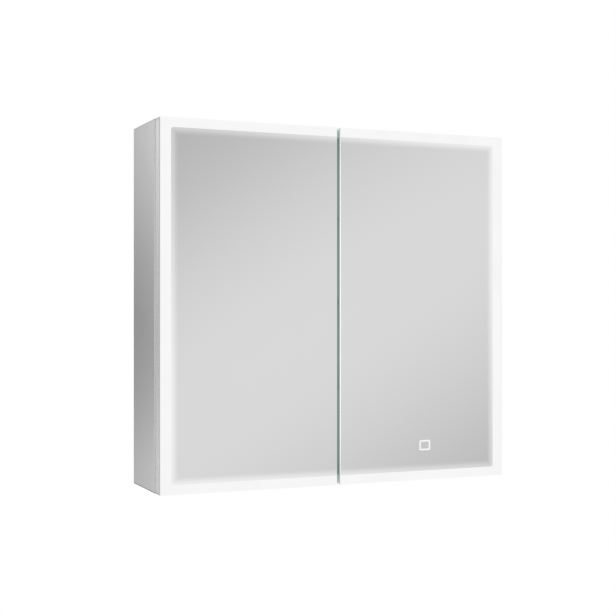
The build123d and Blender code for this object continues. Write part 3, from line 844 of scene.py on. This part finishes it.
def lit_pane(mesh_data, side, proud):
    """A door's front pane. Its front face is a mirror with a border on three sides."""
    chosen = settings()
    low, high = node_span(f"{side}_door_glass")
    window_low, window_high = mirror_window()
    corner, arris = chosen.light.corner, chosen.glass.arris
    hand = -1 if side == "left" else 1
    hinge_x = low.x if side == "left" else high.x
    meeting_x = high.x if side == "left" else low.x
    window_x = window_low[0] if side == "left" else window_high[0]
    front, back = low.y + proud, high.y
    radius = chosen.glass.pane_corner

    def outline(inset):
        """From the lower meeting corner up the meeting edge and round to the start."""
        meet = meeting_x + hand * inset
        hinge = hinge_x - hand * inset
        bottom, top = low.z + inset, high.z - inset
        curve = max(radius - inset, MIN_CORNER)
        points = [(meet, window_low[1]), (meet, window_high[1])]
        centres = (
            (meet + hand * curve, top - curve, 180, 90),
            (hinge - hand * curve, top - curve, 90, 0),
            (hinge - hand * curve, bottom + curve, 0, -90),
            (meet + hand * curve, bottom + curve, -90, -180),
        )
        for x, z, start, end in centres:
            points += arc(x, z, curve, start, end, hand)
        return points

    rings = [
        ring(mesh_data, outline(arris), front),
        ring(mesh_data, outline(0.0), front + arris),
        ring(mesh_data, outline(0.0), back - arris),
        ring(mesh_data, outline(arris), back),
    ]
    for first, second in zip(rings, rings[1:]):
        skirt(mesh_data, first, second, FROSTED_EDGE)
    for face in mesh_data.faces:
        # light leaves the border through the top and bottom edges
        if all(not low.z + radius < vert.co.z < high.z - radius for vert in face.verts):
            face.material_index = LIT_EDGE
        elif all(abs(vert.co.x - meeting_x) < 1.01 * arris for vert in face.verts):
            on_front = all(vert.co.y < front + 1.01 * arris for vert in face.verts)
            face.material_index = ARRIS if on_front else EDGE
    mesh_data.faces.new(rings[3]).material_index = PAINT
    # the mirror's outline runs from its lower meeting point to its upper one
    bend_x = window_x - hand * corner
    bend = arc(bend_x, window_low[1] + corner, corner, -90, 0, hand, steps=8)
    bend += arc(bend_x, window_high[1] - corner, corner, 0, 90, hand, steps=8)
    curve = ring(mesh_data, bend, front)
    lower, upper = rings[0][0], rings[0][1]
    mesh_data.faces.new([lower, *curve, upper]).material_index = MIRROR
    mesh_data.faces.new([*rings[0][1:], lower, *curve][::-1]).material_index = BORDER


SYMBOL_RELIEF = 0.15 * MM  # the touch symbol stands this far proud of the glass


class CABINET_OT_front_mirrors(Operator):
    """Make the front pane of each door, with its mirror and its lit border"""

    bl_idname = "cabinet.front_mirrors"
    bl_label = "Front mirrors"

    def execute(self, context):
        chosen = settings()
        light, glass = chosen.light, chosen.glass
        window_low, window_high = mirror_window()
        edge = (window_low, window_high, light.corner)
        materials = [
            mirror_face(
                "Front mirror", glass.silver, light.glow, light.glow_reach, edge, light.colour
            ),
            frosted_light("Frosted lit border", light.colour, light.brightness),
            # the last colour of each ground edge is its painted glow
            ground_edge("Ground glass edge", glass.edge, edge, (0.21, 0.275, 0.25)),
            bright_arris("Polished arris"),
            backing_paint("Mirror backing paint"),
            frosted_light("Lit glass edge", light.colour, light.brightness * 1.05),
            ground_edge("Frosted glass edge", (0.26, 0.26, 0.26), edge, (0.21, 0.21, 0.21)),
        ]
        for side in SIDES:
            mesh_data = bmesh.new()
            lit_pane(mesh_data, side, SYMBOL_RELIEF)
            name, body = f"{side}_front_mirror", f"{side}_door"
            finish_piece(name, mesh_data, body, materials, [f"{side}_door_glass"])
        return {"FINISHED"}


class CABINET_OT_touch_symbol(Operator):
    """Make the small lit square that marks the touch switch"""

    bl_idname = "cabinet.touch_symbol"
    bl_label = "Touch symbol"

    def execute(self, context):
        light = settings().light
        sensor_low, sensor_high = node_span("touch_sensor")
        centre = (sensor_low + sensor_high) / 2
        front = node_span("right_door_glass")[0].y
        half = Vector((light.symbol_width, light.symbol_height)) / 2
        line = light.symbol_line
        inside = half - Vector((line, line))
        mesh_data = bmesh.new()
        outer = rounded_outline(centre.xz - half, centre.xz + half, light.symbol_corner)
        inner_corner = max(light.symbol_corner - line, 0.6 * MM)
        inner = rounded_outline(centre.xz - inside, centre.xz + inside, inner_corner)
        loops = [
            ring(mesh_data, outer, front),
            ring(mesh_data, outer, front + SYMBOL_RELIEF),
            ring(mesh_data, inner, front + SYMBOL_RELIEF),
            ring(mesh_data, inner, front),
        ]
        for first, second in zip(loops, loops[1:] + loops[:1]):
            skirt(mesh_data, first, second, 0)
        lit = frosted_light("Lit symbol", light.colour, light.brightness)
        finish_piece("touch_symbol", mesh_data, "right_door", [lit])
        return {"FINISHED"}


class CABINET_OT_back_mirrors(Operator):
    """Make the mirrors on the inside of the doors and on the cabinet's back"""

    bl_idname = "cabinet.back_mirrors"
    bl_label = "Back mirrors"

    def execute(self, context):
        glass = settings().glass
        materials = [mirror_face("Inner mirror", glass.silver)]
        for name in ("Mirror backing paint", "Ground glass edge", "Polished arris"):
            materials.append(bpy.data.materials[name])
        rows = [(f"{side}_door_back_mirror", f"{side}_door", True) for side in SIDES]
        rows.append(("back_mirror", "cabinet", False))
        for node_name, body, faces_wall in rows:
            low, high = node_span(node_name)
            near, far = (high.y, low.y) if faces_wall else (low.y, high.y)
            mesh_data = bmesh.new()
            rounding = glass.pane_corner, glass.arris
            flat_pane(mesh_data, low.xz, high.xz, near, far, *rounding, (0, 1, 2, 3))
            name = node_name.replace("back_mirror", "inner_mirror")
            finish_piece(name, mesh_data, body, materials, [node_name])
        return {"FINISHED"}


class CABINET_OT_door_frames(Operator):
    """Finish the aluminium bars and the hidden pieces of the doors"""

    bl_idname = "cabinet.door_frames"
    bl_label = "Door frames"

    def execute(self, context):
        chosen = settings()
        metal, light = chosen.metal, chosen.light
        colour, spacing = metal.door_frame, metal.line_spacing
        upright = brushed_metal("Door frame upright", colour, 0.42, "Z", spacing)
        level = brushed_metal("Door frame level", colour, 0.46, "X", spacing)
        dress(upright, *both("door_hinge_stile"), *both("pivot_brackets"))
        # painted glow: a little green emission on the stiles that face each other stands for
        # light from the glass edges
        meeting = brushed_metal("Door frame meeting side", colour, 0.30, "Z", spacing)
        shader = meeting.node_tree.nodes["Principled BSDF"]
        set_sockets(shader, Emission_Color=(0.80, 1.0, 0.93, 1.0), Emission_Strength=0.13)
        dress(meeting, *both("door_meeting_stile"))
        dress(level, *both("door_top_rail"), *both("door_bottom_rail"))
        # the catches and the cable bush take the grey one
        moulded_plastic("Grey nylon", (0.33, 0.335, 0.34), 0.5)
        pale_nylon = moulded_plastic("Natural nylon", (0.78, 0.78, 0.76), 0.5)
        dress(pale_nylon, *both("door_corner_keys"), *both("door_pivot_bushes"))
        opal = lamp_plastic("Opal acrylic", light.colour, light.brightness)
        dress(opal, *both("door_diffusers"))
        board = circuit_board("Circuit board")
        dress(board, *both("door_led_strips"), "touch_sensor")
        dress(foam_board("Foam board"), *both("door_spacer_ribs"))
        return {"FINISHED"}


# ======== carcass ========


class CABINET_OT_carcass(Operator):
    """Finish the outer shells, the inner liners and the back"""

    bl_idname = "cabinet.carcass"
    bl_label = "Carcass"

    def execute(self, context):
        metal = settings().metal
        rough, spacing = metal.shell_roughness, metal.line_spacing
        # 0.20 is the strength of the painted shade towards the wall
        upright = brushed_metal("Side shell", metal.shell, rough, "Z", spacing, 0.20)
        level = brushed_metal("Top and bottom shell", metal.shell, rough, "X", spacing)
        dress(upright, *both("side_shell"))
        dress(level, "top_panel_shell", "bottom_panel_shell")
        liner_colour = (0.80, 0.80, 0.81)
        side_liner = brushed_metal("Side liner", liner_colour, 0.42, "Z", spacing)
        level_liner = brushed_metal("Top and bottom liner", liner_colour, 0.42, "X", spacing)
        dress(side_liner, *both("side_liner"))
        dress(level_liner, "top_panel_liner", "bottom_panel_liner")
        dress(coated_sheet("Back sheet", (0.62, 0.63, 0.64)), "back_panel")
        return {"FINISHED"}


SHELF_ARRIS = 0.6 * MM  # width of the polished slope along a shelf's edges


class CABINET_OT_shelves(Operator):
    """Make the glass shelves and finish their pins and pads"""

    bl_idname = "cabinet.shelves"
    bl_label = "Glass shelves"

    def execute(self, context):
        glass = settings().glass
        clear = clear_glass("Clear shelf glass", glass.shelf_tint)
        materials = [clear, green_edge("Green shelf edge")]
        turn = Matrix.Rotation(math.radians(-90), 4, "X")
        for name in ("upper_shelf", "middle_shelf", "lower_shelf"):
            low, high = node_span(name)
            mesh_data = bmesh.new()
            # drawn upright with its depth along Z, then turned to lie flat
            rounding = glass.shelf_corner, SHELF_ARRIS
            flat_pane(mesh_data, low.xy, high.xy, -high.z, -low.z, *rounding, (0, 0, 1, 1))
            bmesh.ops.transform(mesh_data, matrix=turn, verts=mesh_data.verts)
            new_name = name.replace("shelf", "glass_shelf")
            finish_piece(new_name, mesh_data, "cabinet", materials, [name])
        dress(polished_metal("Polished steel", (0.78, 0.78, 0.79)), "shelf_pins")
        dress(soft_rubber("Clear pad", (0.86, 0.88, 0.88), clear=True), "shelf_pads")
        return {"FINISHED"}


# ======== hardware ========


class CABINET_OT_hinges(Operator):
    """Finish the pivots, catches, strike plates and bumpers"""

    bl_idname = "cabinet.hinges"
    bl_label = "Hinges and catches"

    def execute(self, context):
        zinc = plated_steel("Zinc plate", (0.66, 0.67, 0.69))
        dress(zinc, *both("door_strike_plates"))
        dress(bpy.data.materials["Polished steel"], "pivot_pins")
        dress(bpy.data.materials["Grey nylon"], "catch_housings")
        dress(ferrite("Ferrite"), "catch_magnets")
        dress(bpy.data.materials["Clear pad"], *both("door_bumpers"))
        return {"FINISHED"}


class CABINET_OT_wall_fixing(Operator):
    """Finish the wall rail, its hangers and the corner brackets"""

    bl_idname = "cabinet.wall_fixing"
    bl_label = "Wall fixing"

    def execute(self, context):
        zinc = bpy.data.materials["Zinc plate"]
        dress(zinc, "wall_rail", "corner_brackets", *both("hanger"))
        for name in both("hanger"):
            soften(name, 0.5 * MM)
        return {"FINISHED"}


SMOOTH = math.radians(35)  # turned faces that meet below this angle look smooth


class CABINET_OT_screws(Operator):
    """Make the cross-recess screws"""

    bl_idname = "cabinet.screws"
    bl_label = "Screws"

    def execute(self, context):
        bright = plated_steel("Screw plating", (0.74, 0.745, 0.76), 0.26)
        for name in ("bracket_screws", "pivot_screws", "driver_screws", "hanger_adjusters"):
            mesh_data, new_name = screws_like(name), f"cross_head_{name}"
            finish_piece(new_name, mesh_data, "cabinet", [bright], [name], SMOOTH)
        return {"FINISHED"}


class CABINET_OT_driver(Operator):
    """Finish the LED driver behind the back panel"""

    bl_idname = "cabinet.driver"
    bl_label = "LED driver"

    def execute(self, context):
        white = moulded_plastic("White plastic", (0.80, 0.80, 0.79), 0.42)
        dress(white, "driver_case", "driver_cover")
        dress(bpy.data.materials["Circuit board"], "driver_board")
        dress(bpy.data.materials["Grey nylon"], "cable_bush")
        dress(soft_rubber("Black rubber", (0.03, 0.03, 0.03)), "lead_grommets")
        return {"FINISHED"}


# ======== stage ========

SWEEP_CENTRE = 0.415  # the reflected X about which the sweep is drawn
SWEEP_LEVEL = 0.64 / 0.92
SWEEP_SWING = 0.22  # the sweep's greatest step from its level


def mirror_sweep(tree, axes):
    """The soft grey sweep with a bright diagonal that the mirrors show."""
    across, up = maths(tree, "SUBTRACT", axes["X"], SWEEP_CENTRE), axes["Z"]
    # a shallow saddle in the direction's X and Z, flattened towards its limits
    total = 0.06
    for weight, term in (
        (0.0183, across),
        (-0.0692, up),
        (-3.37, maths(tree, "MULTIPLY", across, across)),
        (8.37, maths(tree, "MULTIPLY", across, up)),
        (-5.96, maths(tree, "MULTIPLY", up, up)),
    ):
        total = maths(tree, "MULTIPLY_ADD", term, weight, total)
    flattened = maths(tree, "TANH", maths(tree, "DIVIDE", total, SWEEP_SWING))
    sweep = maths(tree, "MULTIPLY_ADD", flattened, SWEEP_SWING, SWEEP_LEVEL)
    left_card = map_range(tree, axes["X"], -0.50, -0.85, 0.0, 0.25, smooth=True)
    return maths(tree, "ADD", sweep, left_card)


def wall_side(tree, axes, stage):
    """What the side reflects: darkest a little below the middle, brighter above and below."""
    up = axes["Z"]
    raised = maths(tree, "ADD", up, 0.028)
    height = maths(tree, "MAXIMUM", raised, maths(tree, "MULTIPLY", raised, -1.5))
    rise = map_range(
        tree, height, 0.0, 0.195, stage.wall_low, stage.wall_high, smooth=True
    )
    beyond = map_range(tree, height, 0.22, 0.32, 0.0, 1.0, smooth=True)
    far_level = map_range(tree, up, -0.25, 0.25, stage.wall_below, stage.wall_above)
    return blend_colour(tree, beyond, rise, far_level)


def room_world(stage):
    """White to the camera; to glossy surfaces, the sweep in front and the wall behind."""
    world = bpy.data.worlds.new("Studio")
    bpy.context.scene.world = world
    world.use_nodes = True
    tree = world.node_tree
    tree.nodes.clear()
    output = add_node(tree, "ShaderNodeOutputWorld")
    rays = add_node(tree, "ShaderNodeLightPath").outputs
    axes = surface_axes(tree, "Generated")
    sweep, wall = mirror_sweep(tree, axes), wall_side(tree, axes, stage)
    behind = map_range(tree, axes["Y"], -0.15, 0.25, 0.0, 1.0, smooth=True)
    glossy_level = blend_colour(tree, behind, sweep, wall)
    level = blend_colour(
        tree, rays["Is Glossy Ray"], [stage.room_light] * 3, glossy_level
    )
    backdrop = add_node(tree, "ShaderNodeBackground")
    backdrop.inputs["Color"].default_value = (1.0, 1.0, 1.0, 1.0)
    studio = add_node(tree, "ShaderNodeBackground")
    tree.links.new(level, studio.inputs["Color"])
    choose = add_node(tree, "ShaderNodeMixShader")
    for socket, source in zip(
        choose.inputs, (rays["Is Camera Ray"], studio.outputs[0], backdrop.outputs[0])
    ):
        tree.links.new(source, socket)
    tree.links.new(choose.outputs[0], output.inputs["Surface"])


def soft_light(name, at, towards, size, power):
    """A rectangular lamp that the camera can't see."""
    data = bpy.data.lights.new(name, "AREA")
    data.shape = "RECTANGLE"
    data.size, data.size_y = size
    data.energy = power
    lamp = add_object(name, data)
    lamp.location = at
    lamp.rotation_euler = (Vector(towards) - Vector(at)).to_track_quat("-Z", "Y").to_euler()
    lamp.visible_camera = False


def floor_material(radius):
    """A pale floor that fades out towards its edge."""
    material, tree, shader = new_material("Pale floor", Roughness=0.85)
    grain = noise(tree, 40.0, detail=4.0)
    pale, paler = (0.86, 0.86, 0.86), (0.90, 0.90, 0.90)
    vary_colour(tree, shader, grain, pale, paler)
    length = add_node(tree, "ShaderNodeVectorMath", operation="LENGTH")
    feed(tree, length.inputs[0], place(tree))
    solid = map_range(
        tree, length.outputs["Value"], radius * 0.35, radius, 1.0, 0.0, smooth=True
    )
    feed(tree, shader.inputs["Alpha"], solid)
    return material


class CABINET_OT_stage(Operator):
    """Place the camera, the lights and the floor"""

    bl_idname = "cabinet.stage"
    bl_label = "Stage"

    def execute(self, context):
        stage = settings().stage
        scene = context.scene
        scene.view_settings.view_transform = "Standard"
        scene.view_settings.look = "None"
        room_world(stage)
        lens = bpy.data.cameras.new("Camera")
        lens.lens = stage.lens
        lens.sensor_width = 36.0
        camera = add_object("Camera", lens)
        camera.location = (
            CAD_LOW.x - stage.camera_side,
            CAD_LOW.y - stage.camera_front,
            MIDDLE.z - stage.camera_drop,
        )
        camera.rotation_euler = (math.radians(90), 0.0, -stage.camera_turn)
        scene.camera = camera
        key_at, key_size = (-2.2, -1.2, MIDDLE.z), (1.2, 1.2)
        soft_light("Key light", key_at, tuple(MIDDLE), key_size, stage.key_light)
        floor_mesh = bmesh.new()
        bmesh.ops.create_circle(
            floor_mesh, cap_ends=True, segments=96, radius=stage.floor_radius
        )
        mesh = bpy.data.meshes.new("Floor")
        floor_mesh.to_mesh(mesh)
        floor_mesh.free()
        mesh.materials.append(floor_material(stage.floor_radius))
        floor = add_object("Floor", mesh)
        floor.location = (0.0, 0.0, CAD_LOW.z - stage.floor_drop)
        floor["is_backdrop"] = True
        return {"FINISHED"}


class CABINET_PT_pieces(Panel):
    """Lists the cabinet's pieces in the sidebar"""

    bl_idname = "CABINET_PT_pieces"
    bl_label = "Lit mirror cabinet"
    bl_space_type = "VIEW_3D"
    bl_region_type = "UI"
    bl_category = "Cabinet"

    def draw(self, context):
        for operator in OPERATORS:
            self.layout.operator(operator.bl_idname)
        chosen = context.scene.mirror_cabinet
        for group in (chosen.light, chosen.glass, chosen.metal, chosen.stage):
            box = self.layout.box()
            for key in group.bl_rna.properties.keys():
                if key not in ("rna_type", "name"):
                    box.prop(group, key)


OPERATORS = (
    CABINET_OT_front_mirrors,
    CABINET_OT_touch_symbol,
    CABINET_OT_back_mirrors,
    CABINET_OT_door_frames,
    CABINET_OT_carcass,
    CABINET_OT_shelves,
    CABINET_OT_hinges,
    CABINET_OT_wall_fixing,
    CABINET_OT_screws,
    CABINET_OT_driver,
    CABINET_OT_stage,
)
SETTINGS = (LightSettings, GlassSettings, MetalSettings, StageSettings, CabinetSettings)
CLASSES = (*SETTINGS, *OPERATORS, CABINET_PT_pieces)


def register():
    """Add the operators, the panel and the settings."""
    for item in CLASSES:
        bpy.utils.register_class(item)
    bpy.types.Scene.mirror_cabinet = PointerProperty(type=CabinetSettings)


def unregister():
    """Take them away again."""
    del bpy.types.Scene.mirror_cabinet
    for item in reversed(CLASSES):
        bpy.utils.unregister_class(item)


def main():
    """Make every piece and the stage."""
    register()
    for operator in OPERATORS:
        group, name = operator.bl_idname.split(".")
        getattr(getattr(bpy.ops, group), name)()


if __name__ == "__main__":
    main()
